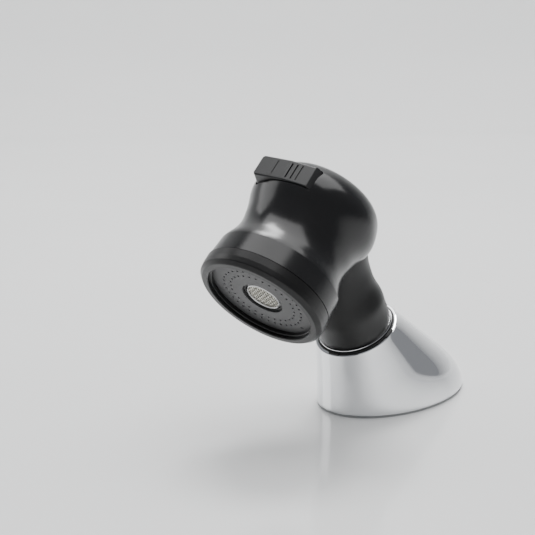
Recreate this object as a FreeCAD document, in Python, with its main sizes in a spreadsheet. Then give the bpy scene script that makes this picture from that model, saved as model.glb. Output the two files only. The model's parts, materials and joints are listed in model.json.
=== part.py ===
import FreeCAD, Part
import os

import Sketcher
from FreeCAD import Placement, Rotation, Vector

# Basin hand shower: a spray head with a stream/shower see-saw switch, parked in a
# slanted deck holder.  Millimetres, +Z up.  The origin is the centre of the deck hole
# at the underside of the gasket; the shower leans towards -Y; X is the width.
#
# Neck frame: origin at the centre of the holder's mouth, local Z along the mouth axis.
# Head frame: origin at the centre of the spray face, local Z into the head; the switch
#             is on the local -Y side, called "up" in the names below.

os.makedirs("parts", exist_ok=True)
doc = FreeCAD.newDocument("BasinHandShower")
dims = doc.addObject("Spreadsheet::Sheet", "Dims")

SIZES = {
    "neck_tilt": (28.64, "lean of the mouth axis from vertical, degrees"),
    "mouth_y": (-20.2, "mouth centre"),
    "mouth_z": (37.07, "mouth centre height over the deck"),
    "face_y": (-82.44, "spray face centre"),
    "face_z": (62.09, "spray face centre height over the deck"),
    "head_tilt": (-48.70, "turn of the head frame about X, degrees"),
    "foot_y": (7.0, "centre of the elliptical foot"),
    "foot_long": (41.3, "half length of the foot along Y"),
    "foot_wide": (27.9, "half width of the foot along X"),
    "gasket_t": (0.8, "deck gasket thickness"),
    "floor_top": (4.8, "top of the holder's floor"),
    "shell_wall": (2.5, "holder wall"),
    "mouth_r": (18.6, "outer radius of the mouth rim"),
    "mouth_bore": (17.3, "bore for the bush"),
    "bush_depth": (9.9, "depth of the bush below the mouth plane"),
    "shank_r": (16.5, "threaded shank"),
    "shank_bore": (12.75, "hose passage"),
    "shank_end": (-48.0, "lower end of the shank"),
    "deck_t": (18.0, "deck clamped by the lock nut"),
    "sleeve_bore": (13.05, "bore of the turning guide sleeve"),
    "spigot_r": (12.7, "lower spigot of the neck"),
    "neck_end": (-9.0, "lower end of the neck spigot"),
    "thread_r": (10.48, "half-inch pipe thread of the inlet"),
    "stem_r": (7.95, "turning stem of the inlet"),
    "ring_r": (27.5, "outer radius of the face ring"),
    "plate_r": (23.65, "spray plate"),
    "plate_t": (3.0, "spray plate thickness"),
    "nozzle_r": (0.48, "spray hole radius"),
    "outer_row_r": (17.4, "outer row of spray holes"),
    "outer_row_n": (36, "holes in the outer row"),
    "inner_row_r": (14.36, "inner row of spray holes"),
    "inner_row_n": (30, "holes in the inner row"),
    "centre_bore": (9.0, "bore for the aerator"),
    "mesh_r": (6.75, "aerator screen"),
    "switch_d": (44.0, "depth of the switch tongue and diverter behind the face"),
    "switch_off": (0.5, "middle of the switch behind its tongue"),
    "switch_x": (-0.8, "switch pivot to the side of the head axis"),
    "pivot_up": (20.0, "height of the switch pivot over the head axis"),
    "switch_rest": (10.5, "tilt of the switch at rest, degrees"),
    "switch_w": (10.0, "width of the switch along the head axis"),
    "pin_r": (1.2, "switch pin"),
    "valve_up": (6.0, "height of the diverter bore over the head axis"),
    "valve_bore": (5.0, "diverter bore"),
    "tongue": (12.0, "reach of the switch tongue from its pivot"),
}
for row, name in enumerate(SIZES, start=1):
    number, meaning = SIZES[name]
    dims.set("A%d" % row, name)
    dims.set("B%d" % row, str(number))
    dims.set("C%d" % row, meaning)
    dims.setAlias("B%d" % row, name)
doc.recompute()


def size(name):
    return SIZES[name][0]


def amount(c):
    """A coordinate is a number, or (name of a size, what is added to it)."""
    if isinstance(c, tuple):
        return size(c[0]) + c[1]
    return float(c)


def formula(c):
    return "Dims.%s + (%s)" % (c[0], c[1])


def bind(obj, prop, c):
    if isinstance(c, tuple):
        obj.setExpression(prop, formula(c))


NECK = Placement(
    Vector(0, size("mouth_y"), size("mouth_z")), Rotation(Vector(1, 0, 0), size("neck_tilt"))
)
HEAD = Placement(
    Vector(0, size("face_y"), size("face_z")), Rotation(Vector(1, 0, 0), size("head_tilt"))
)
DECK = Placement()
FRAMES = {
    "neck": (NECK, "mouth_y", "mouth_z", "neck_tilt"),
    "head": (HEAD, "face_y", "face_z", "head_tilt"),
}


def put(obj, frame, local=None):
    """Place an object in the deck, neck or head frame."""
    if frame in FRAMES:
        base, y_name, z_name, turn = FRAMES[frame]
        obj.Placement = base.multiply(local) if local else base
        if local is None:
            obj.setExpression("Placement.Base.y", "Dims.%s" % y_name)
            obj.setExpression("Placement.Base.z", "Dims.%s" % z_name)
            obj.setExpression("Placement.Rotation.Angle", "Dims.%s" % turn)
    else:
        obj.Placement = local or Placement()
    return obj


# ---------------------------------------------------------------- sketch helpers
def plane(body, role):
    for feature in body.Origin.OriginFeatures:
        if feature.Role == role:
            return feature
    raise RuntimeError("no plane " + role)


def sketch(body, role, name):
    sk = body.newObject("Sketcher::SketchObject", name)
    sk.AttachmentSupport = [(plane(body, role), "")]
    sk.MapMode = "FlatFace"
    return sk


def outline(sk, points):
    """A closed polygon with every corner held by its two coordinates."""
    count = len(points)
    spots = [Vector(amount(px), amount(py), 0) for px, py in points]
    for i in range(count):
        sk.addGeometry(Part.LineSegment(spots[i], spots[(i + 1) % count]), False)
    for i in range(count):
        sk.addConstraint(Sketcher.Constraint("Coincident", i, 2, (i + 1) % count, 1))
    for i, (px, py) in enumerate(points):
        for kind, axis, c in (("DistanceX", -2, px), ("DistanceY", -1, py)):
            if abs(amount(c)) < 1e-9:
                sk.addConstraint(Sketcher.Constraint("PointOnObject", i, 1, axis))
                continue
            number = sk.addConstraint(Sketcher.Constraint(kind, -1, 1, i, 1, amount(c)))
            if isinstance(c, tuple):
                sk.setExpression("Constraints[%d]" % number, formula(c))


def circle(sk, cx, cy, radius):
    index = sk.addGeometry(Part.Circle(Vector(amount(cx), amount(cy), 0), Vector(0, 0, 1), amount(radius)))
    for kind, axis, c in (("DistanceX", -2, cx), ("DistanceY", -1, cy)):
        if abs(amount(c)) < 1e-9:
            sk.addConstraint(Sketcher.Constraint("PointOnObject", index, 3, axis))
            continue
        number = sk.addConstraint(Sketcher.Constraint(kind, -1, 1, index, 3, amount(c)))
        if isinstance(c, tuple):
            sk.setExpression("Constraints[%d]" % number, formula(c))
    number = sk.addConstraint(Sketcher.Constraint("Radius", index, amount(radius)))
    if isinstance(radius, tuple):
        sk.setExpression("Constraints[%d]" % number, formula(radius))


def new_body(name, frame, local=None):
    body = doc.addObject("PartDesign::Body", name)
    body.Label = name
    put(body, frame, local)
    return body


def turn_profile(body, name, points):
    """Revolve a (radius, height) outline about the body's own Z axis."""
    sk = sketch(body, "XZ_Plane", name + "_profile")
    outline(sk, points)
    rev = body.newObject("PartDesign::Revolution", name + "_turn")
    rev.Profile = sk
    rev.ReferenceAxis = (sk, ["V_Axis"])
    rev.Angle = 360.0
    body.Tip = rev
    doc.recompute()
    return rev


def round_edges(body, feature, name, spots, radius):
    """Fillet the circular edges found at the given (radius, height) spots."""
    edges = []
    for i, edge in enumerate(feature.Shape.Edges, start=1):
        if not hasattr(edge.Curve, "Radius"):
            continue
        for r_at, z_at in spots:
            near_r = abs(edge.Curve.Radius - amount(r_at)) < 0.01
            if near_r and abs(edge.Curve.Center.z - amount(z_at)) < 0.01:
                edges.append("Edge%d" % i)
    fillet = body.newObject("PartDesign::Fillet", name)
    fillet.Base = (feature, edges)
    fillet.Radius = radius
    body.Tip = fillet
    doc.recompute()
    return fillet


def turned(name, frame, points):
    body = new_body(name, frame)
    turn_profile(body, name, points)
    return body


def ring_of_holes(body, name, pitch_r, hole_r, count, depth):
    """A through hole repeated round the body's Z axis."""
    sk = sketch(body, "XY_Plane", name + "_hole")
    circle(sk, pitch_r, 0, hole_r)
    cut = body.newObject("PartDesign::Pocket", name + "_cut")
    cut.Profile = sk
    cut.Type = "Length"
    cut.Length = depth
    cut.Reversed = True
    row_of = body.newObject("PartDesign::PolarPattern", name + "_row")
    row_of.Originals = [cut]
    row_of.Axis = (sk, ["N_Axis"])
    row_of.Angle = 360.0
    if isinstance(count, str):
        row_of.Occurrences = int(size(count))
        row_of.setExpression("Occurrences", "Dims.%s" % count)
    else:
        row_of.Occurrences = count
    body.Tip = row_of
    doc.recompute()


# ---------------------------------------------------------------- Part helpers
def section(name, frame, radius, shift, height):
    """A circle whose centre is moved sideways along the frame's local Y."""
    obj = doc.addObject("Part::Circle", name)
    obj.Radius = radius
    put(obj, frame, Placement(Vector(0, shift, height), Rotation(Vector(0, 0, 1), 90)))
    return obj


def loft(name, sections, ruled):
    obj = doc.addObject("Part::Loft", name)
    obj.Sections = sections
    obj.Solid = True
    obj.Ruled = ruled
    return obj


def rod(name, frame, radius, height, local=None):
    obj = doc.addObject("Part::Cylinder", name)
    obj.Radius = amount(radius)
    obj.Height = amount(height)
    bind(obj, "Radius", radius)
    bind(obj, "Height", height)
    put(obj, frame, local or Placement())
    return obj


def block(name, frame, low, high):
    obj = doc.addObject("Part::Box", name)
    obj.Length = high[0] - low[0]
    obj.Width = high[1] - low[1]
    obj.Height = high[2] - low[2]
    put(obj, frame, Placement(Vector(*low), Rotation()))
    return obj


def fuse(name, shapes):
    obj = doc.addObject("Part::MultiFuse", name)
    obj.Shapes = shapes
    return obj


def cut(name, base, tool):
    obj = doc.addObject("Part::Cut", name)
    obj.Base = base
    obj.Tool = tool
    return obj


NODES = []


def keep(name, obj):
    obj.Label = name
    NODES.append((name, obj))


# ================================================================ deck holder
# Slanted chrome shell: ruled from the elliptical foot to the round, tilted mouth.
def foot(name, less_long, less_wide, shift, height):
    """The elliptical foot outline, made by stretching a circle along its own X."""
    base = doc.addObject("Part::Circle", name + "_circle")
    base.Radius = size("foot_wide") - less_wide
    base.setExpression("Radius", "Dims.foot_wide - %s" % less_wide)
    obj = doc.addObject("Part::Scale", name)
    obj.Base = base
    obj.Uniform = False
    obj.XScale = (size("foot_long") - less_long) / (size("foot_wide") - less_wide)
    obj.setExpression("XScale", "(Dims.foot_long - %s) / (Dims.foot_wide - %s)" % (less_long, less_wide))
    obj.YScale = 1.0
    obj.ZScale = 1.0
    obj.Placement = Placement(Vector(0, size("foot_y") + shift, height), Rotation(Vector(0, 0, 1), 90))
    obj.setExpression("Placement.Base.y", "Dims.foot_y + (%s)" % shift)
    return obj


shell_out = loft(
    "shell_out",
    [foot("foot_out", 0, 0, 0, size("gasket_t")), section("mouth_out", "neck", size("mouth_r"), 0, -0.7)],
    True,
)
# The hollow keeps the wall thickness under the long back slope, so its foot is shorter there.
wall = size("shell_wall")
shell_in = loft(
    "shell_in",
    [
        foot("foot_in", 2.1 * wall, 1.45 * wall, -1.2 * wall, size("floor_top")),
        section("throat", "neck", 16.6, 0, -size("bush_depth") - 0.1),
    ],
    True,
)
bore_at = Placement(Vector(0, 0, -size("bush_depth") - 0.1), Rotation())
mouth_cut = rod("mouth_cut", "neck", ("mouth_bore", 0), 14, bore_at)
floor_cut = rod("floor_cut", "deck", ("shank_r", 0.2), 12, Placement(Vector(0, 0, -2), Rotation()))
shell_tools = fuse("shell_tools", [shell_in, mouth_cut, floor_cut])
keep("holder_shell", cut("holder_shell", shell_out, shell_tools))

# Rubber gasket between the foot and the deck.
gasket_plan = foot("gasket_plan", 0.5, 0.5, 0, 0)
gasket_pad = doc.addObject("Part::Extrusion", "gasket_pad")
gasket_pad.Base = gasket_plan
gasket_pad.DirMode = "Custom"
gasket_pad.Dir = Vector(0, 0, 1)
gasket_pad.LengthFwd = size("gasket_t")
gasket_pad.setExpression("LengthFwd", "Dims.gasket_t")
gasket_pad.Solid = True
gasket_hole = rod("gasket_hole", "deck", ("shank_r", 0.5), 4, Placement(Vector(0, 0, -1), Rotation()))
keep("deck_gasket", cut("deck_gasket", gasket_pad, gasket_hole))

# Threaded shank with its inner flange, then the washers and lock nut under the deck.
keep("mounting_shank", turned("mounting_shank", "deck", [
    (("shank_bore", 0), ("floor_top", 2.5)),
    (("shank_r", 2.5), ("floor_top", 2.5)),
    (("shank_r", 2.5), ("floor_top", 0.05)),
    (("shank_r", 0), ("floor_top", 0.05)),
    (("shank_r", 0), ("shank_end", 1)),
    (("shank_r", -1), ("shank_end", 0)),
    (("shank_bore", 0), ("shank_end", 0)),
]))
under = -size("deck_t")
keep("deck_washer", turned("deck_washer", "deck", [
    (("shank_r", 0.4), under), (26, under), (26, under - 2.5), (("shank_r", 0.4), under - 2.5),
]))
keep("steel_washer", turned("steel_washer", "deck", [
    (("shank_r", 0.4), under - 2.5), (25, under - 2.5), (25, under - 4), (("shank_r", 0.4), under - 4),
]))
nut = new_body("lock_nut", "deck")
nut_plan = sketch(nut, "XY_Plane", "nut_plan")
corner = 26.5
hexagon = [(corner, 0), (corner / 2, corner * 0.866025), (-corner / 2, corner * 0.866025),
           (-corner, 0), (-corner / 2, -corner * 0.866025), (corner / 2, -corner * 0.866025)]
outline(nut_plan, hexagon)
circle(nut_plan, 0, 0, ("shank_r", 0.08))
nut_plan.AttachmentOffset = Placement(Vector(0, 0, under - 13), Rotation())
nut_pad = nut.newObject("PartDesign::Pad", "nut_pad")
nut_pad.Profile = nut_plan
nut_pad.Length = 9
nut.Tip = nut_pad
doc.recompute()
keep("lock_nut", nut)

# Black bush in the mouth, with four snap tabs that hook over the rim.
bush = new_body("holder_bush", "neck")
turn_profile(bush, "holder_bush", [
    (15.4, ("bush_depth", -19.8)),
    (("mouth_bore", -0.05), ("bush_depth", -19.8)),
    (("mouth_bore", -0.05), -0.45),
    (16.85, -0.45),
    (16.85, -1.3),
    (15.4, -1.3),
])
tab_plan = sketch(bush, "XZ_Plane", "tab_plan")
outline(tab_plan, [(17.0, -0.62), (18.35, -0.62), (18.2, -0.1), (17.0, -0.1)])
tab = bush.newObject("PartDesign::Pad", "tab")
tab.Profile = tab_plan
tab.Length = 5.0
tab.Midplane = True
tabs = bush.newObject("PartDesign::PolarPattern", "tabs")
tabs.Originals = [tab]
tabs.Axis = (tab_plan, ["V_Axis"])
tabs.Angle = 360.0
tabs.Occurrences = 4
bush.Tip = tabs
doc.recompute()
keep("holder_bush", bush)

# Turning cup: a chrome ring over a plastic guide sleeve; it turns with the parked shower.
keep("swivel_ring", turned("swivel_ring", "neck", [
    (("sleeve_bore", 0), -1.0), (16.55, -1.0), (16.55, 0.15), (16.45, 0.35), (16.25, 0.35),
    (16.15, 0.15), (16.15, -0.3), (("sleeve_bore", 0), -0.3),
]))
keep("guide_sleeve", turned("guide_sleeve", "neck", [
    (("sleeve_bore", 0.5), -13.0), (14.9, -13.0), (15.32, -12.0), (15.32, -1.0),
    (("sleeve_bore", 0), -1.0), (("sleeve_bore", 0), -12.0),
]))

# ================================================================ head and neck outside
# Head: nearly round sections along the head axis (depth, radius, rise of the centre).
FLANGE = [(4.2, 27.4, -0.3), (8.0, 27.2, -0.45), (13.0, 26.9, -0.6)]
HOURGLASS = [
    (13.0, 26.9, -0.6), (17.0, 25.3, -0.5), (21.0, 24.0, -0.5), (26.0, 23.65, -0.4),
    (31.0, 24.35, -0.25), (36.0, 25.8, -0.3), (40.0, 27.2, -0.6), (44.1, 27.55, -0.7),
    (48.2, 26.6, -1.0), (52.2, 24.65, -1.8), (55.5, 21.2, -2.55), (57.9, 16.4, -3.1),
    (59.5, 10.2, -3.5), (60.2, 4.4, -3.65),
]
head_wall = 2.4
flange = loft(
    "flange",
    [section("flange_%d" % i, "head", r, -rise, d) for i, (d, r, rise) in enumerate(FLANGE)],
    True,
)
apex = doc.addObject("Part::Vertex", "apex")
apex_at = HEAD.multVec(Vector(0, 3.7, 60.4))
apex.X = apex_at.x
apex.Y = apex_at.y
apex.Z = apex_at.z
body_sections = [section("waist_%d" % i, "head", r, -rise, d) for i, (d, r, rise) in enumerate(HOURGLASS)]
hourglass = loft("hourglass", body_sections + [apex], False)
head_out = fuse("head_out", [flange, hourglass])

INSIDE = [(d, r - head_wall, rise) for d, r, rise in HOURGLASS if 16 < d < 53]
INSIDE = [(10.0, 24.2, -0.5)] + INSIDE
INSIDE_CAP = [INSIDE[-1], (55.0, 18.0, -2.5), (56.9, 12.5, -3.0), (57.8, 6.0, -3.3)]
cavity_back = loft(
    "cavity_back",
    [section("inside_%d" % i, "head", r, -rise, d) for i, (d, r, rise) in enumerate(INSIDE)],
    False,
)
cavity_cap = loft(
    "cavity_cap",
    [section("cap_%d" % i, "head", r, -rise, d) for i, (d, r, rise) in enumerate(INSIDE_CAP)],
    True,
)
cavity_front = rod("cavity_front", "head", 24.8, 7.6, Placement(Vector(0, 0, 2.8), Rotation()))
cavity_all = fuse("cavity_all", [cavity_front, cavity_back, cavity_cap])

# Well for the switch: a walled pocket that opens through the top of the head.
mid = size("switch_d")
up = size("pivot_up")
off_x = size("switch_x")
well_wall = block("well_wall", "head", (-20.4, -30, mid - 8.4), (20.4, -14.6, mid + 8.4))
cavity = cut("cavity", cavity_all, well_wall)
head_shell = cut("head_shell", head_out, cavity)


def rounded_prism(name, frame, x_low, x_high, half_z, corner_r, y_low, y_high, centre_z):
    """A rounded rectangle in X and Z, drawn out along the frame's local Y."""
    body = doc.addObject("Part::Box", name + "_core")
    body.Length = x_high - x_low
    body.Width = y_high - y_low
    body.Height = 2 * half_z
    put(body, frame, Placement(Vector(x_low, y_low, centre_z - half_z), Rotation()))
    doc.recompute()
    obj = doc.addObject("Part::Fillet", name)
    obj.Base = body
    marks = []
    for i, edge in enumerate(body.Shape.Edges, start=1):
        first, last = [v.Point for v in edge.Vertexes]
        if abs((last - first).Length - (y_high - y_low)) < 1e-6:
            marks.append((i, corner_r, corner_r))
    obj.Edges = marks
    return obj


pocket = rounded_prism("pocket", "head", -16.3, 13.7, 5.45, 2.0, -34, -16.7, mid + size("switch_off"))
slot = block("slot", "head", (off_x - 3.7, -20, mid - 2.2), (off_x + 3.7, -12, mid + 2.2))
pin_at = Placement(Vector(off_x, -up, mid - 8.0), Rotation())
pin_cut = rod("pin_cut", "head", ("pin_r", 0), 16.0, pin_at)
tube_at = Placement(Vector(0, 0, 26), Rotation())
tube_cut = rod("tube_cut", "neck", 5.6, 26, tube_at)
head_tools = fuse("head_tools", [pocket, slot, pin_cut, tube_cut])
keep("head_casing", cut("head_casing", head_shell, head_tools))

# Neck: round sections along the mouth axis (height, radius, shift to the back).
NECK_SECTIONS = [
    (0.0, 15.7, 0.0), (0.8, 16.0, 0.0), (6.0, 16.1, 0.0), (11.0, 16.2, 0.0), (14.0, 16.0, 0.1),
    (17.0, 15.2, 0.4), (20.0, 14.4, 0.8), (24.0, 13.8, 1.5), (28.0, 13.5, 2.2), (34.0, 13.8, 3.4),
    (40.0, 14.6, 4.4), (50.0, 15.0, 5.0),
]
neck_skin = loft(
    "neck_skin",
    [section("neck_%d" % i, "neck", r, back, w) for i, (w, r, back) in enumerate(NECK_SECTIONS)],
    False,
)
spigot_at = Placement(Vector(0, 0, size("neck_end")), Rotation())
spigot = rod("spigot", "neck", ("spigot_r", 0), 10.0, spigot_at)
neck_solid = fuse("neck_solid", [neck_skin, spigot])
wide_at = Placement(Vector(0, 0, size("neck_end") - 1), Rotation())
neck_wide = rod("neck_wide", "neck", 11.5, 21.2, wide_at)
neck_bore = rod("neck_bore", "neck", 9.4, 60, wide_at)
neck_tools = fuse("neck_tools", [neck_wide, neck_bore, head_out])
keep("neck_sleeve", cut("neck_sleeve", neck_solid, neck_tools))

# ================================================================ spray face
ring = new_body("face_ring", "head")
ring_turn = turn_profile(ring, "face_ring", [
    (("plate_r", 0.05), -0.05), (22.3, -0.05), (22.3, -1.45), (22.5, -1.65), (23.1, -1.65),
    (23.1, -2.85), (23.4, -3.15), (25.7, -3.1), (27.3, -1.6), (("ring_r", 0), 0.6),
    (("ring_r", 0), 3.8), (24.6, 3.8), (24.6, 9.6), (("plate_r", 0.05), 9.6),
])
round_edges(ring, ring_turn, "ring_front", [(25.7, -3.1), (27.3, -1.6)], 0.7)
keep("face_ring", ring)

plate = new_body("spray_plate", "head")
turn_profile(plate, "spray_plate", [
    (("centre_bore", 0), 0), (("plate_r", 0), 0), (("plate_r", 0), ("plate_t", 0)),
    (("centre_bore", 0), ("plate_t", 0)),
])
ring_of_holes(plate, "outer_nozzle", ("outer_row_r", 0), ("nozzle_r", 0), "outer_row_n", 6)
ring_of_holes(plate, "inner_nozzle", ("inner_row_r", 0), ("nozzle_r", 0), "inner_row_n", 6)
keep("spray_plate", plate)

seal = doc.addObject("Part::Torus", "plate_seal")
seal.Radius1 = 21.2
seal.Radius2 = 1.1
put(seal, "head", Placement(Vector(0, 0, size("plate_t") + 1.15), Rotation()))
keep("plate_seal", seal)

keep("aerator_sleeve", turned("aerator_sleeve", "head", [
    (8.0, 0.9), (("centre_bore", -0.05), 0.9), (("centre_bore", -0.05), 9.0),
    (7.1, 9.0), (7.1, 8.6), (8.0, 8.6),
]))
keep("aerator_rim", turned("aerator_rim", "head", [
    (("mesh_r", 0), 0.8), (7.05, 0.5), (7.4, 0.8), (7.4, 1.7), (7.9, 1.8), (7.9, 2.25),
    (("mesh_r", 0), 2.25),
]))
mesh = doc.addObject("Part::Cylinder", "aerator_mesh")
mesh.Radius = size("mesh_r")
mesh.Height = 0.5
mesh.setExpression("Radius", "Dims.mesh_r")
put(mesh, "head", Placement(Vector(0, 0, 1.2), Rotation()))
keep("aerator_mesh", mesh)
core = new_body("aerator_core", "head")
turn_profile(core, "aerator_core", [
    (0, 2.3), (7.9, 2.3), (7.9, 8.5), (6.6, 8.5), (6.6, 4.0), (0, 4.0),
])
ring_of_holes(core, "jet", 4.2, 0.8, 10, 6)
keep("aerator_core", core)
keep("aerator_tube", turned("aerator_tube", "head", [
    (6.0, 9.05), (8.9, 9.05), (8.9, 10.5), (7.6, 12.0), (7.6, 36.0), (6.0, 36.0),
]))

baffle = new_body("distributor_disc", "head", Placement(Vector(0, 0.4, 26.0), Rotation()))
baffle_plan = sketch(baffle, "XY_Plane", "baffle_plan")
circle(baffle_plan, 0, 0, 21.0)
circle(baffle_plan, 0, -0.4, 7.7)
baffle_pad = baffle.newObject("PartDesign::Pad", "baffle_pad")
baffle_pad.Profile = baffle_plan
baffle_pad.Length = 2.4
baffle.Tip = baffle_pad
doc.recompute()
ring_of_holes(baffle, "passage", 15.0, 1.7, 8, 6)
keep("distributor_disc", baffle)

# ================================================================ diverter
valve_up = size("valve_up")
along_x = Rotation(Vector(0, 1, 0), 90)


def x_rod(name, radius, x_low, x_high):
    """A cylinder on the diverter's axis, which runs along X."""
    obj = rod(name, "head", radius, x_high - x_low, Placement(Vector(x_low, -valve_up, mid), along_x))
    return obj


valve_barrel = x_rod("valve_barrel", 7.5, -17, 17)
outlet = rod("outlet", "head", 5.9, 4.5, Placement(Vector(0, 0, 33.0), Rotation()))
valve_solid = fuse("valve_solid", [valve_barrel, outlet])
valve_cut = x_rod("valve_cut", ("valve_bore", 0), -18, 18)
outlet_cut = rod("outlet_cut", "head", 4.2, 9.0, Placement(Vector(0, -1.0, 32.0), Rotation()))
inlet_cut = rod("inlet_cut", "neck", 4.0, 12, Placement(Vector(0, 0, 52), Rotation()))
tongue_slot = block("tongue_slot", "head", (off_x - 4.4, -15, mid - 2.2), (off_x + 4.4, -valve_up, mid + 2.2))
valve_tools = fuse("valve_tools", [valve_cut, outlet_cut, inlet_cut, tongue_slot])
keep("diverter_body", cut("diverter_body", valve_solid, valve_tools))

plugs = []
for side, x_in, x_out in (("left", -17.0, -13.2), ("right", 13.2, 17.0)):
    plug_rod = x_rod("plug_rod_" + side, ("valve_bore", -0.02), x_in, x_out)
    face_x = -18.2 if side == "left" else 17.0
    plug_head = x_rod("plug_head_" + side, 6.6, face_x, face_x + 1.2)
    plugs.append(fuse("plug_" + side, [plug_rod, plug_head]))
both = doc.addObject("Part::Compound", "diverter_plugs")
both.Links = plugs
keep("diverter_plugs", both)

# Spool, centred on the switch tongue at rest, with a waist for the tongue.
rest_x = -3.0
spool = new_body("diverter_spool", "head", Placement(Vector(rest_x, -valve_up, mid), along_x))
turn_profile(spool, "diverter_spool", [
    (0, -9.5), (("valve_bore", -0.05), -9.5), (("valve_bore", -0.05), -7.0), (3.15, -7.0),
    (3.15, -5.0), (("valve_bore", -0.05), -5.0), (("valve_bore", -0.05), -1.95), (1.6, -1.95),
    (1.6, 1.95), (("valve_bore", -0.05), 1.95), (("valve_bore", -0.05), 5.0), (3.15, 5.0),
    (3.15, 7.0), (("valve_bore", -0.05), 7.0), (("valve_bore", -0.05), 9.5), (0, 9.5),
])
keep("diverter_spool", spool)
seals = []
for i, x_at in enumerate((-6.0, 6.0)):
    o_ring = doc.addObject("Part::Torus", "spool_seal_%d" % i)
    o_ring.Radius1 = 4.05
    o_ring.Radius2 = 0.88
    put(o_ring, "head", Placement(Vector(rest_x + x_at, -valve_up, mid), along_x))
    seals.append(o_ring)
both_seals = doc.addObject("Part::Compound", "spool_seals")
both_seals.Links = seals
keep("spool_seals", both_seals)

# ================================================================ see-saw switch
switch_at = Placement(Vector(off_x, -up, mid), Rotation(Vector(0, 0, 1), size("switch_rest")))
rocker = new_body("rocker_lever", "head", switch_at)
rocker_plan = sketch(rocker, "XY_Plane", "rocker_plan")
rocker_plan.AttachmentOffset = Placement(Vector(0, 0, size("switch_off")), Rotation())
outline(rocker_plan, [
    (-14.0, -6.2), (0, -7.3), (11.2, -6.45), (13.4, -4.4), (13.6, -0.2), (3.5, 2.4),
    (-3.5, 2.4), (-14.6, -0.2),
])
rocker_pad = rocker.newObject("PartDesign::Pad", "rocker_pad")
rocker_pad.Profile = rocker_plan
rocker_pad.Length = size("switch_w")
rocker_pad.setExpression("Length", "Dims.switch_w")
rocker_pad.Midplane = True
rocker.Tip = rocker_pad
doc.recompute()
tongue_plan = sketch(rocker, "XY_Plane", "tongue_plan")
outline(tongue_plan, [(-1.2, 1.0), (1.2, 1.0), (1.2, ("tongue", 0)), (-1.2, ("tongue", 0))])
tongue_pad = rocker.newObject("PartDesign::Pad", "tongue_pad")
tongue_pad.Profile = tongue_plan
tongue_pad.Length = 3.0
tongue_pad.Midplane = True
rocker.Tip = tongue_pad
doc.recompute()
bore_plan = sketch(rocker, "XY_Plane", "rocker_bore_plan")
circle(bore_plan, 0, 0, ("pin_r", 0.05))
rocker_bore = rocker.newObject("PartDesign::Pocket", "rocker_bore")
rocker_bore.Profile = bore_plan
rocker_bore.Type = "Length"
rocker_bore.Length = 30
rocker_bore.Midplane = True
rocker.Tip = rocker_bore
doc.recompute()
upright = []
for i, edge in enumerate(rocker_bore.Shape.Edges, start=1):
    points = [v.Point for v in edge.Vertexes]
    if len(points) != 2 or abs(points[0].z - points[1].z) > 1e-6:
        continue
    if abs(abs(points[0].z - size("switch_off")) - size("switch_w") / 2) > 1e-6:
        continue
    if min(abs(p.x) for p in points) > 10 and max(p.y for p in points) - min(p.y for p in points) > 3:
        upright.append("Edge%d" % i)
corners = rocker.newObject("PartDesign::Fillet", "rocker_corners")
corners.Base = (rocker_bore, upright)
corners.Radius = 1.5
rocker.Tip = corners
doc.recompute()
rim_edges = []
for i, edge in enumerate(corners.Shape.Edges, start=1):
    points = [v.Point for v in edge.Vertexes]
    if len(points) == 2 and all(p.y < -5.9 for p in points) and (points[0] - points[1]).Length > 0.5:
        if abs(points[0].x) < 1e-6 and abs(points[1].x) < 1e-6:
            continue
        rim_edges.append("Edge%d" % i)
soft = rocker.newObject("PartDesign::Fillet", "rocker_soft")
soft.Base = (corners, rim_edges)
soft.Radius = 0.6
rocker.Tip = soft
doc.recompute()
print("rocker edges", len(upright), len(rim_edges), soft.Shape.isValid())
# Engraved function marks: three short bars for the shower, one bar for the stream.
mark_plan = sketch(rocker, "XZ_Plane", "mark_plan")
mark_plan.AttachmentOffset = Placement(Vector(0, 0, 7.3), Rotation())
index = 0
for bar_x in (-5.6, 1.2, 3.5, 5.8):
    base = index
    low = Vector(bar_x - 0.33, size("switch_off") - 3.6, 0)
    high = Vector(bar_x + 0.33, size("switch_off") + 3.6, 0)
    corners = [low, Vector(high.x, low.y, 0), high, Vector(low.x, high.y, 0)]
    for k in range(4):
        mark_plan.addGeometry(Part.LineSegment(corners[k], corners[(k + 1) % 4]), False)
    for k in range(4):
        mark_plan.addConstraint(Sketcher.Constraint("Coincident", base + k, 2, base + (k + 1) % 4, 1))
        for kind, c in (("DistanceX", corners[k].x), ("DistanceY", corners[k].y)):
            mark_plan.addConstraint(Sketcher.Constraint(kind, -1, 1, base + k, 1, c))
    index += 4
marks = rocker.newObject("PartDesign::Pocket", "marks")
marks.Profile = mark_plan
marks.Type = "Length"
marks.Length = 0.85
rocker.Tip = marks
doc.recompute()
keep("rocker_lever", rocker)
print("rocker volumes", soft.Shape.Volume, marks.Shape.Volume)

keep("rocker_pin", rod("rocker_pin", "head", ("pin_r", 0), 15.8, pin_at))

# ================================================================ waterway in the neck
water_tube = turned("water_tube", "neck", [
    (8.0, ("neck_end", 0)), (11.4, ("neck_end", 0)), (11.4, 11.1), (9.3, 11.1), (9.3, 32.4),
    (5.5, 32.4), (5.5, 61.0), (4.0, 61.0), (4.0, 24.0), (6.5, 24.0), (6.5, 6.0), (8.0, 6.0),
    (8.0, 2.1), (8.65, 2.1), (8.65, 0.9), (8.0, 0.9),
])
keep("waterway", cut("waterway", water_tube, valve_solid))

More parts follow.
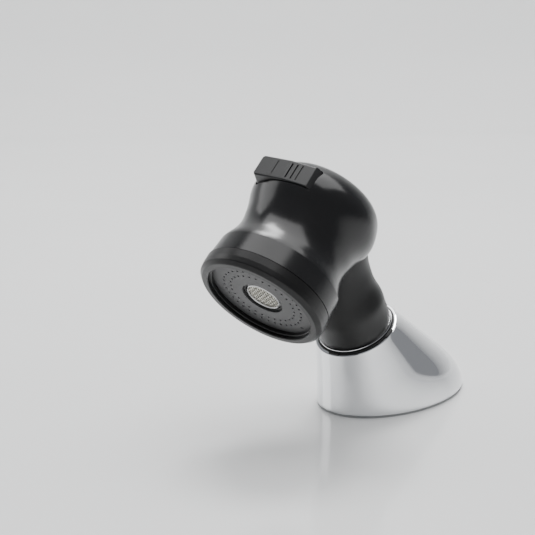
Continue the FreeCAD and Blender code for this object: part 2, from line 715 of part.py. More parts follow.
keep("check_valve_seat", turned("check_valve_seat", "neck", [
    (3.0, 9.0), (6.45, 9.0), (6.45, 11.5), (3.4, 11.5), (3.0, 11.0),
]))
cage = new_body("check_valve_cage", "neck")
turn_profile(cage, "check_valve_cage", [(1.3, 19.0), (6.45, 19.0), (6.45, 21.0), (1.3, 21.0)])
ring_of_holes(cage, "cage_port", 4.0, 1.4, 5, 30)
keep("check_valve_cage", cage)
keep("check_valve_poppet", turned("check_valve_poppet", "neck", [
    (0, 9.6), (2.2, 9.6), (2.6, 11.0), (2.6, 11.6), (4.6, 11.6), (4.6, 13.0), (1.2, 13.0), (1.2, 22.0), (0, 22.0),
]))
spring_path = doc.addObject("Part::Helix", "spring_path")
spring_path.Radius = 2.6
spring_path.Pitch = 1.1
spring_path.Height = 5.2
spring_path.Placement = NECK.multiply(Placement(Vector(0, 0, 13.4), Rotation()))
spring_wire = doc.addObject("Part::Circle", "spring_wire")
spring_wire.Radius = 0.28
spring_wire.Placement = NECK.multiply(Placement(Vector(2.6, 0, 13.4), Rotation(Vector(1, 0, 0), 90)))
spring = doc.addObject("Part::Sweep", "check_valve_spring")
spring.Sections = [spring_wire]
doc.recompute()
spring.Spine = (spring_path, ["Edge1"])
spring.Solid = True
spring.Frenet = True
keep("check_valve_spring", spring)

# ================================================================ turning hose inlet
keep("inlet_nipple", turned("inlet_nipple", "neck", [
    (4.5, -24.0), (("thread_r", -1), -24.0), (("thread_r", 0), -23.0), (("thread_r", 0), -12.3),
    (12.4, -12.3), (12.4, ("neck_end", -0.3)), (("stem_r", 0), ("neck_end", -0.3)),
    (("stem_r", 0), -4.3), (5.6, -4.3), (5.6, -1.7), (("stem_r", 0), -1.7), (("stem_r", 0), 0.95),
    (7.15, 0.95), (7.15, 2.05), (("stem_r", 0), 2.05), (("stem_r", 0), 5.0), (4.5, 5.0),
]))
nipple_ring = doc.addObject("Part::Torus", "nipple_seal")
nipple_ring.Radius1 = 6.78
nipple_ring.Radius2 = 1.15
put(nipple_ring, "neck", Placement(Vector(0, 0, -3.0), Rotation()))
keep("nipple_seal", nipple_ring)
clip_full = turned("clip_full", "neck", [(7.2, 1.0), (8.6, 1.0), (8.6, 2.0), (7.2, 2.0)])
clip_gap = block("clip_gap", "neck", (-3.5, 2.0, 0.0), (3.5, 12.0, 3.0))
keep("nipple_clip", cut("nipple_clip", clip_full, clip_gap))

# ================================================================ checks and export
doc.recompute()
bad = []
for obj in doc.Objects:
    if "Invalid" in obj.State or "Error" in obj.State:
        bad.append(obj.Name)
for name, obj in NODES:
    shape = obj.Shape
    if shape.isNull() or not shape.isValid() or shape.Volume <= 0 or len(shape.Solids) < 1:
        bad.append(name)
if bad:
    print("BAD", bad)
for name, obj in NODES:
    shape = obj.Shape
    print("%-20s %8.0f mm3 %d solids" % (name, shape.Volume, len(shape.Solids)))
    shape.exportStep("parts/" + name + ".step")
if bad:
    raise RuntimeError("features to mend: %s" % bad)
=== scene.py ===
import json
import math

import bmesh
import bpy
from mathutils import Matrix, Vector


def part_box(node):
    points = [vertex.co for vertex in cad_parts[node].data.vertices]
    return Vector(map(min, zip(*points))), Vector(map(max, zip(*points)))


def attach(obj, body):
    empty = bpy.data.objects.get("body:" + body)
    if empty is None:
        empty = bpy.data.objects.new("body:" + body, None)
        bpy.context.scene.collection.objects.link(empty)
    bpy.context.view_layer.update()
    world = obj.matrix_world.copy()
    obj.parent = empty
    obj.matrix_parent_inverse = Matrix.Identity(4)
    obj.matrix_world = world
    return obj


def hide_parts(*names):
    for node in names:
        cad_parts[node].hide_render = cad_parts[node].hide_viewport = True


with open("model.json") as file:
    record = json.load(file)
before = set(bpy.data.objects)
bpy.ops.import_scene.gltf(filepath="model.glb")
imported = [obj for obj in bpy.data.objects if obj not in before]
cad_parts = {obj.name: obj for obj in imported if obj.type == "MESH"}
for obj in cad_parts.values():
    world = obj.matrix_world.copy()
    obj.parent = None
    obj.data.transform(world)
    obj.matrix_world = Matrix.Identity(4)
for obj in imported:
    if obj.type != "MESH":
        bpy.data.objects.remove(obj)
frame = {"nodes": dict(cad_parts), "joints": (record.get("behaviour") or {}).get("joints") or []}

MM = 0.001
SHARP_ANGLE = math.radians(32)
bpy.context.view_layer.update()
nodes = frame["nodes"]
joints = {j["name"]: j for j in frame["joints"]}

# ---------------------------------------------------------------- frames of the part
# Neck frame: origin at the mouth of the holder, Z up the neck.  Head frame: origin at
# the centre of the spray face, Z into the head, -Y towards the switch.
PIVOT_DEPTH = 44.0
PIVOT_UP = 20.0
PIVOT_SIDE = joints["rocker_tilt"]["pos_m"][0] / MM
REST_TILT = 10.5


def basis(origin, z_axis):
    """Frame at origin with its Z along z_axis and its X along the width."""
    z = Vector(z_axis).normalized()
    x = Vector((1, 0, 0))
    y = z.cross(x)
    rot = Matrix((x, y, z)).transposed().to_4x4()
    return Matrix.Translation(origin) @ rot


NECK = basis(Vector(joints["hand_shower_swivel"]["pos_m"]), joints["hand_shower_swivel"]["axis"])
spray = Vector(joints["rocker_tilt"]["axis"]).normalized()
into = -spray
up_side = -into.cross(Vector((1, 0, 0)))
pivot = Vector(joints["rocker_tilt"]["pos_m"])
face_centre = pivot - (into * PIVOT_DEPTH + up_side * PIVOT_UP) * MM - Vector((PIVOT_SIDE, 0, 0)) * MM
HEAD = basis(face_centre, into)
LEVER = HEAD @ Matrix.Translation(Vector((PIVOT_SIDE, -PIVOT_UP, PIVOT_DEPTH)) * MM) @ Matrix.Rotation(
    math.radians(REST_TILT), 4, "Z"
)


# ---------------------------------------------------------------- materials
class Mat:
    """Small helper for procedural materials."""

    def __init__(self, name):
        self.mat = bpy.data.materials.new(name)
        self.mat.use_nodes = True
        self.tree = self.mat.node_tree
        self.bsdf = next(n for n in self.tree.nodes if n.type == "BSDF_PRINCIPLED")
        self.coord = self.node("ShaderNodeTexCoord").outputs["Object"]

    def node(self, kind, **values):
        n = self.tree.nodes.new(kind)
        for key, value in values.items():
            if hasattr(n, key):
                setattr(n, key, value)
            else:
                n.inputs[key].default_value = value
        return n

    def link(self, a, b):
        self.tree.links.new(a, b)

    def set(self, **values):
        for key, value in values.items():
            self.bsdf.inputs[key.replace("_", " ")].default_value = value
        return self

    def noise(self, scale, detail=3.0, rough=0.5, stretch=None):
        source = self.coord
        if stretch:
            mapping = self.node("ShaderNodeMapping")
            mapping.inputs["Scale"].default_value = stretch
            self.link(self.coord, mapping.inputs["Vector"])
            source = mapping.outputs["Vector"]
        n = self.node("ShaderNodeTexNoise")
        n.inputs["Scale"].default_value = scale
        n.inputs["Detail"].default_value = detail
        n.inputs["Roughness"].default_value = rough
        self.link(source, n.inputs["Vector"])
        return n.outputs["Fac"]

    def voronoi(self, scale):
        n = self.node("ShaderNodeTexVoronoi")
        n.inputs["Scale"].default_value = scale
        self.link(self.coord, n.inputs["Vector"])
        return n.outputs["Distance"]

    def ramp(self, fac, stops):
        n = self.node("ShaderNodeValToRGB")
        while len(n.color_ramp.elements) < len(stops):
            n.color_ramp.elements.new(0.5)
        for element, (pos, value) in zip(n.color_ramp.elements, stops):
            element.position = pos
            if isinstance(value, (int, float)):
                value = (value, value, value)
            element.color = (*value, 1.0)
        self.link(fac, n.inputs["Fac"])
        return n.outputs["Color"]

    def mix(self, fac, a, b, mode="MIX"):
        n = self.node("ShaderNodeMix")
        n.data_type = "RGBA"
        n.blend_type = mode
        for socket, value in ((n.inputs[0], fac), (n.inputs[6], a), (n.inputs[7], b)):
            if isinstance(value, bpy.types.NodeSocket):
                self.link(value, socket)
            elif isinstance(value, (int, float)):
                socket.default_value = value
            else:
                socket.default_value = (*value, 1.0)
        return n.outputs[2]

    def bump(self, layers, distance=0.0001):
        """Stack (height, strength) layers."""
        last = None
        for height, strength in layers:
            n = self.node("ShaderNodeBump")
            n.inputs["Strength"].default_value = strength
            n.inputs["Distance"].default_value = distance
            self.link(height, n.inputs["Height"])
            if last:
                self.link(last, n.inputs["Normal"])
            last = n.outputs["Normal"]
        self.link(last, self.bsdf.inputs["Normal"])
        return self

    def colour(self, socket):
        self.link(socket, self.bsdf.inputs["Base Color"])
        return self

    def roughness(self, socket):
        self.link(socket, self.bsdf.inputs["Roughness"])
        return self


def moulded_black(name, base, worn, rough_low, rough_high, grain, grain_strength):
    """Moulded plastic: faint cloudy colour, uneven gloss, fine grain and a few dust specks."""
    m = Mat(name)
    cloud = m.noise(38.0, 4.0, 0.55)
    dust = m.noise(5200.0, 2.0, 0.6)
    specks = m.ramp(m.voronoi(620.0), [(0.0, 1.0), (0.035, 0.0)])
    rare = m.ramp(m.noise(170.0, 1.0), [(0.60, 0.0), (0.66, 1.0)])
    tone = m.mix(m.ramp(cloud, [(0.35, 0.0), (0.7, 1.0)]), base, worn)
    pale = tuple(c * 3.0 + 0.02 for c in base)
    speck_mask = m.mix(1.0, specks, rare, "MULTIPLY")
    m.colour(m.mix(speck_mask, tone, pale))
    smear = m.noise(26.0, 5.0, 0.6, (1.0, 2.6, 1.0))
    m.roughness(m.ramp(smear, [(0.3, rough_low), (0.72, rough_high)]))
    m.bump([(m.noise(grain, 3.0, 0.6), grain_strength), (dust, grain_strength * 0.5)], 0.00006)
    return m


# Each: name, colour, worn colour, roughness from and to, grain scale and strength.
casing = moulded_black(
    "casing_abs", (0.0065, 0.0065, 0.0072), (0.0095, 0.0094, 0.0098), 0.16, 0.29, 900.0, 0.10
)
casing.set(IOR=1.46)
neck_mat = moulded_black(
    "neck_abs", (0.0060, 0.0060, 0.0064), (0.0090, 0.0088, 0.0086), 0.30, 0.42, 1100.0, 0.12
)
neck_mat.set(IOR=1.42)
ring_mat = moulded_black(
    "ring_abs", (0.0055, 0.0054, 0.0057), (0.008, 0.0078, 0.0078), 0.27, 0.38, 900.0, 0.14
)
ring_mat.set(IOR=1.40)
plate_mat = moulded_black(
    "plate_satin", (0.042, 0.042, 0.0435), (0.054, 0.0535, 0.0540), 0.40, 0.52, 1500.0, 0.22
)
lever_mat = moulded_black(
    "lever_satin", (0.0080, 0.0082, 0.0088), (0.011, 0.0112, 0.0118), 0.33, 0.44, 2600.0, 0.40
)
lever_mat.set(IOR=1.44)
bush_mat = moulded_black(
    "bush_matte", (0.006, 0.006, 0.006), (0.010, 0.0095, 0.009), 0.45, 0.62, 1200.0, 0.30
)
ink_mat = moulded_black(
    "mark_black", (0.0022, 0.0022, 0.0024), (0.004, 0.004, 0.004), 0.55, 0.7, 1200.0, 0.2
)


def metal(name, base, other, rough_low, rough_high, brushed=None, cloud=60.0, bump=0.03):
    """Metal with a blotchy tone and an uneven film, or brushed along one axis."""
    m = Mat(name)
    m.set(Metallic=1.0)
    blot = m.noise(cloud, 5.0, 0.62)
    m.colour(m.mix(m.ramp(blot, [(0.3, 0.0), (0.7, 1.0)]), base, other))
    film = m.noise(22.0, 6.0, 0.66)
    if brushed:
        film = m.noise(90.0, 3.0, 0.6, brushed)
    m.roughness(m.ramp(film, [(0.32, rough_low), (0.7, rough_high)]))
    m.bump([(m.noise(140.0, 2.0), bump)], 0.00005)
    return m


chrome = metal("polished_chrome", (0.80, 0.81, 0.83), (0.86, 0.87, 0.88), 0.035, 0.075, bump=0.02)
chrome_trim = metal("trim_chrome", (0.84, 0.85, 0.87), (0.90, 0.90, 0.91), 0.05, 0.10)
steel = metal("plain_steel", (0.55, 0.55, 0.56), (0.64, 0.64, 0.63), 0.24, 0.36, brushed=(1, 1, 14))
wire_mat = metal("mesh_wire", (0.62, 0.60, 0.53), (0.74, 0.72, 0.65), 0.26, 0.42, cloud=260.0)
brass = metal("turned_brass", (0.66, 0.49, 0.24), (0.74, 0.57, 0.31), 0.22, 0.36, brushed=(1, 1, 18))

nylon = Mat("pale_nylon")
nylon.colour(nylon.mix(nylon.noise(80.0, 3.0), (0.60, 0.59, 0.54), (0.70, 0.69, 0.64)))
nylon.roughness(nylon.ramp(nylon.noise(60.0, 4.0), [(0.3, 0.42), (0.7, 0.56)]))
nylon.bump([(nylon.noise(1400.0, 2.0), 0.15)])

rubber = Mat("black_rubber")
rubber.colour(rubber.mix(rubber.noise(120.0, 4.0), (0.012, 0.012, 0.012), (0.024, 0.023, 0.022)))
rubber.roughness(rubber.ramp(rubber.noise(90.0, 4.0), [(0.3, 0.60), (0.7, 0.78)]))
rubber.bump([(rubber.noise(1800.0, 3.0), 0.35)])

gasket = Mat("grey_gasket")
gasket.colour(gasket.mix(gasket.noise(140.0, 4.0), (0.34, 0.345, 0.35), (0.42, 0.425, 0.43)))
gasket.roughness(gasket.ramp(gasket.noise(90.0, 4.0), [(0.3, 0.45), (0.7, 0.6)]))
gasket.bump([(gasket.noise(1500.0, 3.0), 0.25)])

NODE_MATS = {
    casing: ["head_casing"],
    neck_mat: ["neck_sleeve"],
    ring_mat: ["face_ring"],
    plate_mat: ["spray_plate"],
    lever_mat: ["rocker_lever"],
    bush_mat: ["holder_bush", "aerator_sleeve", "aerator_core"],
    chrome: ["holder_shell"],
    chrome_trim: ["swivel_ring", "inlet_nipple"],
    steel: ["aerator_rim", "rocker_pin", "nipple_clip", "check_valve_spring", "steel_washer"],
    wire_mat: ["aerator_mesh"],
    brass: ["lock_nut", "mounting_shank"],
    nylon: [
        "guide_sleeve", "aerator_tube", "distributor_disc", "waterway", "check_valve_cage",
        "check_valve_poppet", "diverter_body", "diverter_plugs", "diverter_spool",
    ],
    gasket: ["deck_gasket"],
    rubber: ["deck_washer", "plate_seal", "check_valve_seat", "spool_seals", "nipple_seal"],
}
for look, names in NODE_MATS.items():
    for name in names:
        for material_slot in nodes[name].material_slots:
            material_slot.material = look.mat


# ---------------------------------------------------------------- mesh helpers
def piece(name, verts, faces, look, body, place=None, smooth=True, replaces=()):
    """A visible mesh that rides on a body; place moves it from its own frame to the part's."""
    mesh = bpy.data.meshes.new(name)
    mesh.from_pydata([tuple(v) for v in verts], [], faces)
    if place is not None:
        mesh.transform(place)
    mesh.validate()
    mesh.materials.append(look.mat)
    bm = bmesh.new()
    bm.from_mesh(mesh)
    bmesh.ops.recalc_face_normals(bm, faces=bm.faces)
    bm.to_mesh(mesh)
    bm.free()
    if smooth:
        mesh.polygons.foreach_set("use_smooth", [True] * len(mesh.polygons))
        mesh.set_sharp_from_angle(angle=SHARP_ANGLE)
    obj = bpy.data.objects.new(name, mesh)
    bpy.context.scene.collection.objects.link(obj)
    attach(obj, body)
    if replaces:
        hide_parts(*replaces)
    return obj


def lathe(rings, steps, shape):
    """Closed (radius, height) loop turned about Z.  shape(radius, height, angle) places each point."""
    verts, faces = [], []
    count = len(rings)
    for s in range(steps):
        angle = 2 * math.pi * s / steps
        for r, z in rings:
            r, z = shape(r, z, angle)
            verts.append((r * math.cos(angle) * MM, r * math.sin(angle) * MM, z * MM))
    for s in range(steps):
        t = (s + 1) % steps
        for k in range(count):
            j = (k + 1) % count
            faces.append((s * count + k, t * count + k, t * count + j, s * count + j))
    return verts, faces


def thread_loop(crest, depth, pitch, low, high, tail_low, tail_high):
    """Profile of a threaded tube: the outer wall is cut fine enough for a helical groove."""
    count = int((high - low) / pitch * 8)
    wall = [(crest, low + (high - low) * i / count) for i in range(count + 1)]

    def groove(r, z, angle):
        if abs(r - crest) > 1e-6 or z < low or z > high:
            return r, z
        phase = (z / pitch - angle / (2 * math.pi)) % 1.0
        wave = 1 - abs(2 * phase - 1)
        ends = min(1.0, (z - low) / pitch, (high - z) / pitch)
        return r - depth * max(0.0, min(1.0, wave * 1.5 - 0.25)) * ends, z

    return tail_low + wall + tail_high, groove


# ---------------------------------------------------------------- woven screen of the aerator
def tube(path, radius, sides, verts, faces):
    """Adds a round wire with closed ends along a path."""
    start = len(verts)
    for i, p in enumerate(path):
        a = path[max(0, i - 1)]
        b = path[min(len(path) - 1, i + 1)]
        t = (Vector(b) - Vector(a)).normalized()
        u = t.cross(Vector((0, 0, 1))).normalized()
        w = u.cross(t)
        for k in range(sides):
            ang = 2 * math.pi * k / sides
            q = Vector(p) + (u * math.cos(ang) + w * math.sin(ang)) * radius
            verts.append(tuple(q * MM))
    for i in range(len(path) - 1):
        for k in range(sides):
            j = (k + 1) % sides
            a = start + i * sides
            faces.append((a + k, a + j, a + sides + j, a + sides + k))
    faces.append(tuple(start + k for k in reversed(range(sides))))
    end = start + (len(path) - 1) * sides
    faces.append(tuple(end + k for k in range(sides)))


SCREEN_R = 6.8
PITCH = 1.24
WIRE = 0.19
SCREEN_DEPTH = 1.52
DOME = 0.30
RIM_GAP = 0.05
SHORTEST = 0.6
CRIMP = 0.55
WIRE_SIDES = 6
SCREEN_TURN = math.radians(7)
verts, faces = [], []
rows = int(SCREEN_R / PITCH)
for direction in (0, 1):
    for row in range(-rows, rows + 1):
        off = row * PITCH
        half = math.sqrt(max(0.0, SCREEN_R ** 2 - off ** 2)) - RIM_GAP
        if half < SHORTEST:
            continue
        steps = max(6, int(2 * half / PITCH * 8))
        path = []
        for i in range(steps + 1):
            along = -half + 2 * half * i / steps
            sign = 1 if (row + direction) % 2 else -1
            lift = sign * WIRE * CRIMP * math.cos(math.pi * along / PITCH)
            dome = DOME * (1 - (along ** 2 + off ** 2) / SCREEN_R ** 2)
            z = SCREEN_DEPTH - lift - dome
            path.append((along, off, z) if direction == 0 else (off, along, z))
        tube(path, WIRE, WIRE_SIDES, verts, faces)
turn = Matrix.Rotation(SCREEN_TURN, 4, "Z")
piece(
    "aerator_screen", verts, faces, wire_mat, "hand_shower", HEAD @ turn,
    replaces=("aerator_mesh",),
)


# ---------------------------------------------------------------- switch marks
INLAY = 0.10
BAR_END_STEPS = 6


def bar(x_centre, z_low, z_high, half, y_face, verts, faces):
    """A thin inlay with rounded ends lying on the lever's flat."""
    outline = []
    for k in range(BAR_END_STEPS + 1):
        ang = math.pi * k / BAR_END_STEPS
        outline.append((x_centre + half * math.cos(ang), z_high - half + half * math.sin(ang)))
    for k in range(BAR_END_STEPS + 1):
        ang = math.pi + math.pi * k / BAR_END_STEPS
        outline.append((x_centre + half * math.cos(ang), z_low + half + half * math.sin(ang)))
    slab(outline, y_face, verts, faces)


def slab(outline, y_face, verts, faces):
    """A closed outline in X and Z, made INLAY thick along Y."""
    base = len(verts)
    n = len(outline)
    for y in (y_face, y_face + INLAY):
        for x, z in outline:
            verts.append((x * MM, y * MM, z * MM))
    faces.append(tuple(range(base, base + n)))
    faces.append(tuple(reversed(range(base + n, base + 2 * n))))
    for k in range(n):
        j = (k + 1) % n
        faces.append((base + k, base + n + k, base + n + j, base + j))


# Inlays in the four engraved marks: one bar for the stream, three for the shower.
GROOVE_FLOOR = -6.62
BARS_X = (-5.6, 1.2, 3.5, 5.8)
BAR_LOW, BAR_HIGH, BAR_HALF = -3.05, 4.05, 0.32
verts, faces = [], []
for x_centre in BARS_X:
    bar(x_centre, BAR_LOW, BAR_HIGH, BAR_HALF, GROOVE_FLOOR, verts, faces)
piece("switch_mark_bars", verts, faces, ink_mat, "rocker", LEVER, smooth=False)


LEVER_TOP = -7.3
LEVER_SLOPE = 0.0786


def crown(x):
    """Height of the lever's sloping top."""
    return LEVER_TOP + abs(x) * LEVER_SLOPE


# The hook under the single bar: half a ring, thickest at its bottom.
HOOK_X, HOOK_Z = -6.7, -2.45
HOOK_OUTER = (1.42, 1.45)
HOOK_INNER = (0.72, 0.60)
HOOK_SWEEP = math.radians(165)
HOOK_STEPS = 12
INK_ABOVE, INK_BELOW = 0.02, 0.08
outer, inner = [], []
for k in range(HOOK_STEPS + 1):
    ang = -HOOK_SWEEP * k / HOOK_STEPS
    outer.append((HOOK_X + HOOK_OUTER[0] * math.cos(ang), HOOK_Z + HOOK_OUTER[1] * math.sin(ang)))
    inner.append((HOOK_X + HOOK_INNER[0] * math.cos(ang), HOOK_Z + HOOK_INNER[1] * math.sin(ang)))
outline = outer + inner[::-1]
verts = [(x * MM, (crown(x) - INK_ABOVE) * MM, z * MM) for x, z in outline]
verts += [(x * MM, (crown(x) + INK_BELOW) * MM, z * MM) for x, z in outline]
count = len(outline)
faces = [tuple(range(count)), tuple(reversed(range(count, 2 * count)))]
faces += [(k, count + k, count + (k + 1) % count, (k + 1) % count) for k in range(count)]
piece("switch_mark_hook", verts, faces, ink_mat, "rocker", LEVER, smooth=False)

# Small moulding scar on the spray plate.
SCAR_X, SCAR_Y, SCAR_HALF = 11.1, 16.9, 0.22
SCAR_RISE = 0.03
SCAR_REACH = 0.9
SCAR_ARMS = ((0.9, 0.35), (0.35, -0.8), (-0.5, 0.55))
verts, faces = [], []
for dx, dy in SCAR_ARMS:
    base = len(verts)
    side = Vector((-dy, dx, 0)).normalized() * SCAR_HALF
    for z in (-SCAR_RISE, SCAR_RISE):
        for sx, sy in ((-1, -1), (1, -1), (1, 1), (-1, 1)):
            x, y = SCAR_X + dx * sx * SCAR_REACH, SCAR_Y + dy * sx * SCAR_REACH
            p = Vector((x, y, z)) + side * sy
            verts.append(p * MM)
    faces += [(base, base + 1, base + 2, base + 3), (base + 4, base + 7, base + 6, base + 5)]
    for k in range(4):
        j = (k + 1) % 4
        faces.append((base + k, base + 4 + k, base + 4 + j, base + j))
piece("plate_scar", verts, faces, ink_mat, "hand_shower", HEAD, smooth=False)

# ---------------------------------------------------------------- chrome holder
FOOT_LONG, FOOT_WIDE, FOOT_Y, FOOT_Z = 41.3, 27.9, 7.0, 0.8
MOUTH_R, BORE_R, MOUTH_Z, BORE_Z = 18.6, 17.3, -0.7, -9.9
WALL = 2.5
SKIRT = 8.0
STEPS = 180
KNEE_LEAN = 0.10
CURVE_SHARE = 0.34
CURVE_STEPS = 14
FLANK_STEPS = 10
HOSE_R = 17.4
FLOOR_Z = FOOT_Z + 4.0
# Rounded edges, as (inwards, upwards) at the foot and (inwards, downwards) at the mouth.
FOOT_ROUND = ((1.1, 0.0), (0.45, 0.12), (0.1, 0.5))
MOUTH_ROUND = ((0.12, 0.35), (0.42, 0.06), (0.75, 0.0))


def foot_point(c, s, long, wide, z, shift=0.0):
    """Point of an ellipse that lies level over the deck."""
    return Vector((wide * c, FOOT_Y + shift + long * s, z)) * MM


def mouth_point(c, s, r, z):
    """Point of a circle round the tilted axis of the mouth."""
    return NECK @ (Vector((r * c, r * s, z)) * MM)


def holder_loop(angle):
    """One closed section of the shell, from the foot up the outside and down the inside."""
    c, s = math.cos(angle), math.sin(angle)
    inner_long = FOOT_LONG - 2.1 * WALL - 1.5
    inner_wide = FOOT_WIDE - 1.45 * WALL - 1.0
    base = foot_point(c, s, FOOT_LONG, FOOT_WIDE, FOOT_Z + 1.0)
    rim = mouth_point(c, s, MOUTH_R, MOUTH_Z - 0.9)
    share = (SKIRT * MM) / (rim.z - base.z)
    on_line = base.lerp(rim, share)
    knee = Vector((base.x, base.y, on_line.z)).lerp(on_line, KNEE_LEAN)
    far = knee.lerp(rim, CURVE_SHARE)
    loop = [foot_point(c, s, FOOT_LONG - k, FOOT_WIDE - k, FOOT_Z + up) for k, up in FOOT_ROUND]
    for k in range(CURVE_STEPS + 1):
        t = k / CURVE_STEPS
        loop.append(base * (1 - t) ** 2 + knee * (2 * t * (1 - t)) + far * t ** 2)
    for k in range(1, FLANK_STEPS + 1):
        loop.append(far.lerp(rim, k / FLANK_STEPS))
    loop += [mouth_point(c, s, MOUTH_R - k, MOUTH_Z - down) for k, down in MOUTH_ROUND]
    loop += [
        mouth_point(c, s, BORE_R + 0.1, MOUTH_Z),
        mouth_point(c, s, BORE_R, MOUTH_Z - 0.1),
        mouth_point(c, s, BORE_R, BORE_Z),
        mouth_point(c, s, BORE_R - 0.6, BORE_Z - 0.4),
        foot_point(c, s, inner_long, inner_wide, FLOOR_Z, -1.2 * WALL),
        foot_point(c, s, HOSE_R, HOSE_R, FLOOR_Z, -FOOT_Y),
        foot_point(c, s, HOSE_R, HOSE_R, FOOT_Z, -FOOT_Y),
    ]
    return loop


verts, faces = [], []
for step in range(STEPS):
    section = holder_loop(2 * math.pi * step / STEPS)
    verts += section
count = len(section)
for step in range(STEPS):
    after = (step + 1) % STEPS
    for k in range(count):
        j = (k + 1) % count
        faces.append((step * count + k, after * count + k, after * count + j, step * count + j))
piece("holder_skin", verts, faces, chrome, "holder", replaces=("holder_shell",))

# ---------------------------------------------------------------- threads under the deck
shank_low, shank_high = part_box("mounting_shank")
bottom = shank_low.z / MM
top = shank_high.z / MM
SHANK = 16.5
SHANK_BORE = 12.75
SHANK_CUT, SHANK_PITCH = 0.75, 1.8
FLANGE_R = 19.0
loop, groove = thread_loop(
    SHANK, SHANK_CUT, SHANK_PITCH, bottom + 1.2, -0.2,
    [
        (SHANK_BORE + 0.15, top), (SHANK_BORE, top - 0.4), (SHANK_BORE, bottom + 0.5),
        (13.2, bottom), (15.6, bottom), (SHANK - 0.02, bottom + 0.9),
    ],
    [
        (SHANK - 0.01, 0.0), (SHANK - 0.01, top - 2.5), (FLANGE_R, top - 2.45),
        (FLANGE_R, top - 0.4), (18.6, top),
    ],
)
verts, faces = lathe(loop, 96, groove)
piece("shank_threaded", verts, faces, brass, "holder", replaces=("mounting_shank",))

nut_low, nut_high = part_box("lock_nut")
n_low, n_high = nut_low.z / MM, nut_high.z / MM
CORNER = nut_high.x / MM
NUT_FACE_R = 21.0
NUT_BORE, NUT_BORE_MOUTH = 16.6, 17.3
CHAMFER, CHAMFER_SLOPE = 0.55, 1.75
NUT_STEPS = 12


def hex_shape(r, z, angle):
    """Turns the outer radius into a hexagon whose corners are turned down at both ends."""
    if r <= NUT_FACE_R:
        return r, z
    flat = CORNER * math.cos(math.pi / 6)
    local = (angle % (math.pi / 3)) - math.pi / 6
    hexa = flat / math.cos(local)
    edge = min(z - n_low, n_high - z)
    limit = flat + CHAMFER + edge * CHAMFER_SLOPE
    return min(hexa, limit), z


rings = [(NUT_BORE, n_low + 0.6), (NUT_BORE_MOUTH, n_low), (NUT_FACE_R, n_low)]
rings += [(CORNER, n_low + (n_high - n_low) * k / NUT_STEPS) for k in range(NUT_STEPS + 1)]
rings += [(NUT_FACE_R, n_high), (NUT_BORE_MOUTH, n_high), (NUT_BORE, n_high - 0.6)]
verts, faces = lathe(rings, 180, hex_shape)
piece("lock_nut_hex", verts, faces, brass, "holder", replaces=("lock_nut",))

# Hose inlet: thread at the bottom, collar, then the journal with a clip and a seal groove.
INLET_BORE = 4.5
INLET_THREAD = 10.48
INLET_CUT, INLET_PITCH = 0.8, 1.81
loop, groove = thread_loop(
    INLET_THREAD, INLET_CUT, INLET_PITCH, -23.2, -13.2,
    [(INLET_BORE, 5.0), (INLET_BORE, -23.6), (4.9, -24.0), (9.5, -24.0), (10.3, -23.4)],
    [
        (9.6, -13.0), (9.6, -12.4), (12.0, -12.3), (12.4, -11.9), (12.4, -9.7), (12.0, -9.3),
        (7.95, -9.3), (7.95, -4.3), (5.6, -4.3), (5.6, -1.7), (7.95, -1.7), (7.95, 0.95),
        (7.15, 0.95), (7.15, 2.05), (7.95, 2.05), (7.95, 4.8), (7.7, 5.0),
    ],
)
verts, faces = lathe(loop, 72, groove)
piece(
    "inlet_threaded", verts, faces, chrome_trim, "hose_inlet", NECK,
    replaces=("inlet_nipple",),
)


# ---------------------------------------------------------------- stage, light and camera
def stage_mesh(name, verts, faces, look):
    """A smooth mesh that isn't part of the object."""
    mesh = bpy.data.meshes.new(name)
    mesh.from_pydata([tuple(v) for v in verts], [], faces)
    mesh.materials.append(look.mat)
    mesh.polygons.foreach_set("use_smooth", [True] * len(mesh.polygons))
    obj = bpy.data.objects.new(name, mesh)
    bpy.context.scene.collection.objects.link(obj)


floor_mat = Mat("pale_deck")
floor_mat.colour(floor_mat.mix(floor_mat.noise(3.0, 3.0), (0.74, 0.745, 0.745), (0.78, 0.785, 0.78)))
floor_mat.roughness(floor_mat.ramp(floor_mat.noise(9.0, 4.0), [(0.3, 0.10), (0.7, 0.16)]))

# Deck that sweeps up behind the part, square to the line of sight.
AZ, EL, ROLL = (math.radians(a) for a in (40.0, 13.0, -0.82))
SWEEP_START = 0.9
SWEEP_R = 0.7
SWEEP_TOP = 2.6
SWEEP_STEPS = 16
DECK_HALF = 3.0
away = Vector((-math.sin(AZ), math.cos(AZ), 0))
across = Vector((math.cos(AZ), math.sin(AZ), 0))
sweep = [(-DECK_HALF, 0.0), (-1.0, 0.0), (0.0, 0.0), (0.6, 0.0), (SWEEP_START, 0.0)]
for k in range(1, SWEEP_STEPS + 1):
    ang = math.pi / 2 * k / SWEEP_STEPS
    sweep.append((SWEEP_START + SWEEP_R * math.sin(ang), SWEEP_R * (1 - math.cos(ang))))
sweep.append((SWEEP_START + SWEEP_R, SWEEP_TOP))
verts, faces = [], []
for u, z in sweep:
    for w in (-DECK_HALF, DECK_HALF):
        verts.append(away * u + across * w + Vector((0, 0, z)))
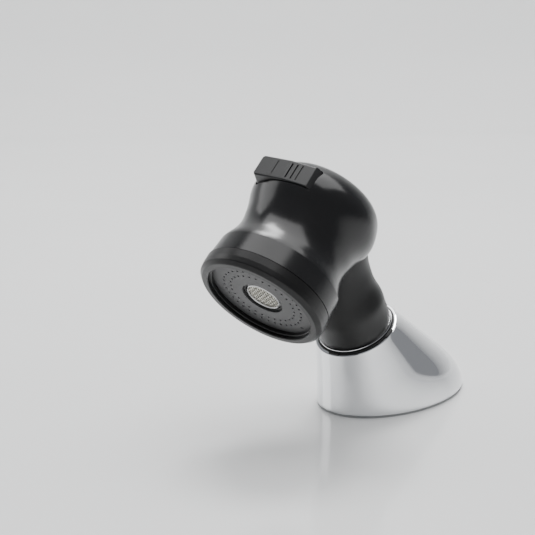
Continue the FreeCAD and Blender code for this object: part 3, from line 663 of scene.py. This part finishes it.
faces = [(2 * k, 2 * k + 1, 2 * k + 3, 2 * k + 2) for k in range(len(sweep) - 1)]
stage_mesh("deck_sweep", verts, faces, floor_mat)

world = bpy.data.worlds.new("soft_room")
bpy.context.scene.world = world
world.use_nodes = True
background = next(n for n in world.node_tree.nodes if n.type == "BACKGROUND")
background.inputs["Color"].default_value = (0.80, 0.82, 0.86, 1)
background.inputs["Strength"].default_value = 0.34


def area(name, at, target, size, power):
    """Soft rectangular light at a place in metres, aimed at a target."""
    data = bpy.data.lights.new(name, "AREA")
    data.shape = "RECTANGLE"
    data.size, data.size_y = size
    data.energy = power
    obj = bpy.data.objects.new(name, data)
    bpy.context.scene.collection.objects.link(obj)
    direction = Vector(target) - Vector(at)
    aim = direction.to_track_quat("-Z", "Y").to_matrix().to_4x4()
    obj.matrix_world = Matrix.Translation(at) @ aim


# Each: name, place, target, size in metres and power in watts.
area("overhead", (-0.34, 0.36, 1.25), (0, -0.06, 0.05), (0.5, 0.36), 13.0)
area("ceiling", (0.0, 0.5, 2.2), (0, 0.3, 0.0), (3.0, 2.4), 78.0)
area("window_left", (-1.5, -0.5, 0.8), (0, -0.06, 0.06), (1.0, 1.0), 7.0)

# Camera: 11 degrees from the middle of the picture to its edge.
TARGET = Vector((0, -78.9, 74.12)) * MM
DIST = 0.5459
HALF_VIEW = math.radians(11.0)
SENSOR = 36.0
back = Vector((math.sin(AZ) * math.cos(EL), -math.cos(AZ) * math.cos(EL), math.sin(EL)))
above = back.cross(across)
cam_x = across * math.cos(ROLL) + above * math.sin(ROLL)
cam_y = -across * math.sin(ROLL) + above * math.cos(ROLL)
camera = bpy.data.objects.new("camera", bpy.data.cameras.new("camera"))
bpy.context.scene.collection.objects.link(camera)
facing = Matrix((cam_x, cam_y, back)).transposed().to_4x4()
camera.matrix_world = Matrix.Translation(TARGET + back * DIST) @ facing
camera.data.sensor_width = SENSOR
camera.data.lens = SENSOR / 2 / math.tan(HALF_VIEW)
camera.data.clip_start = 0.01
camera.data.clip_end = 50.0
bpy.context.scene.camera = camera
